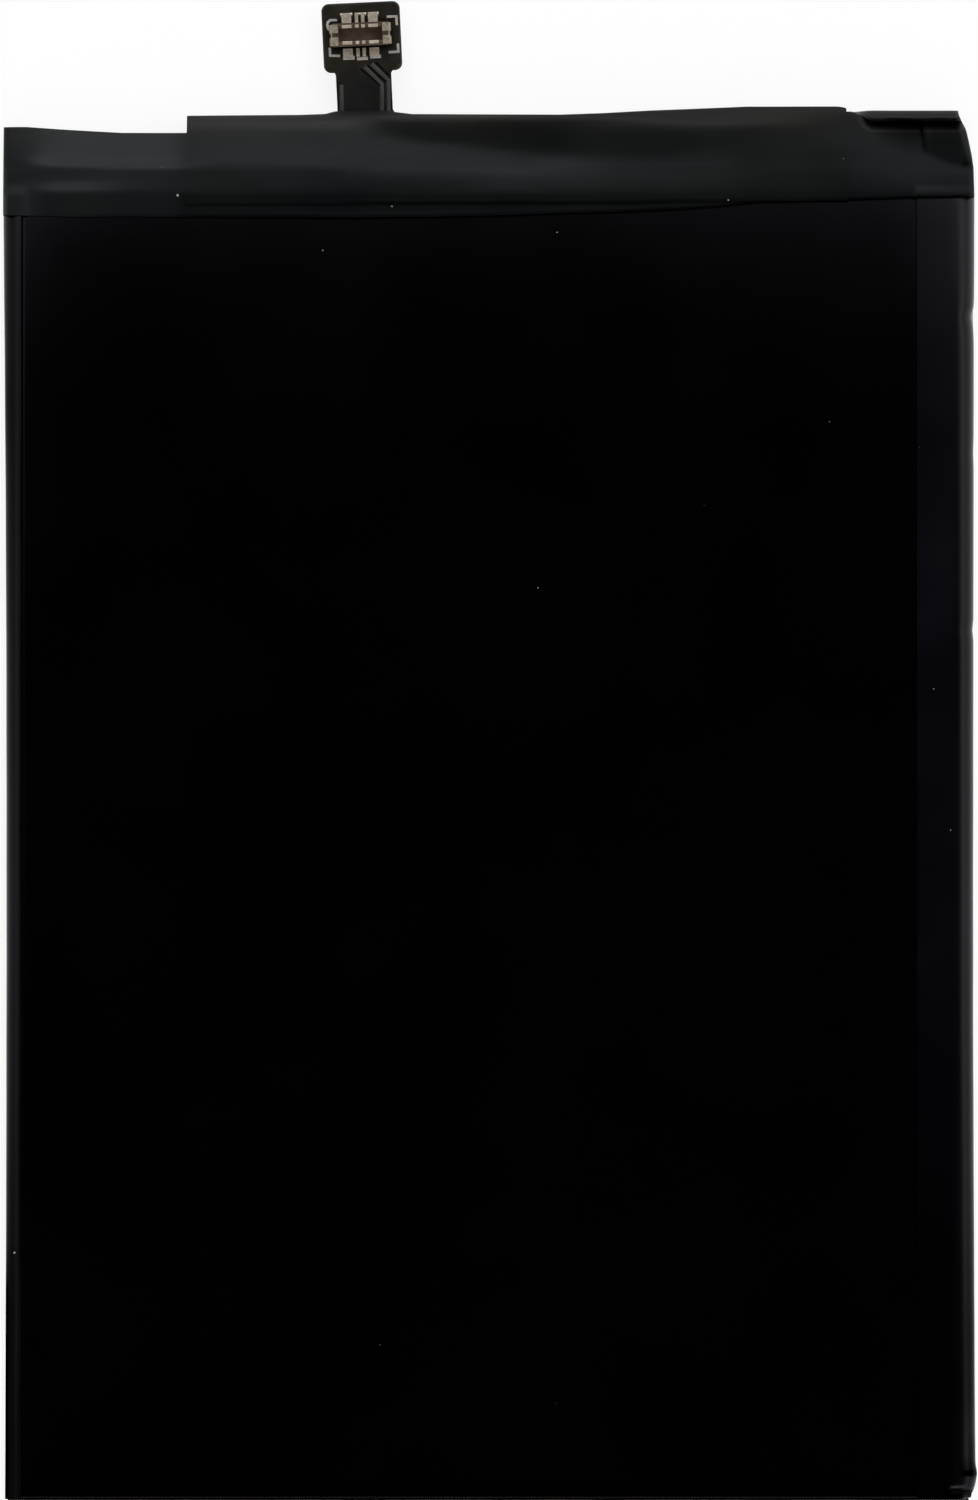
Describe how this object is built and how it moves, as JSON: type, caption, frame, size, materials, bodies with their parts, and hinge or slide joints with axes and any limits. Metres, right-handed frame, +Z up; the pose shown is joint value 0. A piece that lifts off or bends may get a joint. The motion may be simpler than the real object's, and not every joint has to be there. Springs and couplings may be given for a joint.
{
  "type": "mobile phone battery",
  "caption": "Flat black pouch battery for a mobile phone, with a taped protection board at one end and a short flexible tail ending in a board-to-board plug.",
  "frame": {"origin": "middle of the flat resting face, halfway along the body and across it", "axes": "+X across the pack, +Y along it towards the tail and its plug, +Z up from the resting face, towards the side that the plug faces"},
  "size_m": [0.062, 0.0961, 0.0044],
  "materials": {
    "pouch_laminate": "satin",
    "wrap_film": "satin",
    "board_tape": "satin",
    "flex_film": "satin",
    "stiffener": "satin",
    "plug_moulding": "satin",
    "contact_gold": "polished",
    "lead_aluminium": "satin",
    "lead_nickel": "satin",
    "sealing_film": "satin",
    "adhesive": "matte",
    "board_laminate": "satin",
    "chip_moulding": "matte",
    "resistor_body": "satin",
    "capacitor_body": "satin"
  },
  "bodies": {
    "root": {"board_adhesive": "adhesive", "capacitor_1": "capacitor_body", "capacitor_2": "capacitor_body", "capacitor_3": "capacitor_body", "capacitor_4": "capacitor_body", "cell_pouch": "pouch_laminate", "chip_fuse": "resistor_body", "connector_housing": "plug_moulding", "end_nail_left": "contact_gold", "end_nail_right": "contact_gold", "flex_tail": "flex_film", "inner_tape": "board_tape", "negative_plate": "lead_nickel", "negative_tab": "lead_nickel", "negative_tab_sealant": "sealing_film", "outer_tape": "board_tape", "positive_plate": "lead_nickel", "positive_tab": "lead_aluminium", "positive_tab_sealant": "sealing_film", "power_contact_1": "contact_gold", "power_contact_2": "contact_gold", "power_contact_3": "contact_gold", "power_contact_4": "contact_gold", "protection_board": "board_laminate", "protection_chip": "chip_moulding", "resistor_1": "resistor_body", "resistor_2": "resistor_body", "resistor_3": "resistor_body", "resistor_4": "resistor_body", "second_protection_chip": "chip_moulding", "sense_resistor": "resistor_body", "signal_contact_1": "contact_gold", "signal_contact_2": "contact_gold", "signal_contact_3": "contact_gold", "signal_contact_4": "contact_gold", "switch_left": "chip_moulding", "switch_right": "chip_moulding", "tail_stiffener": "stiffener", "thermistor": "resistor_body", "wrap_film": "wrap_film"}
  },
  "joints": []
}
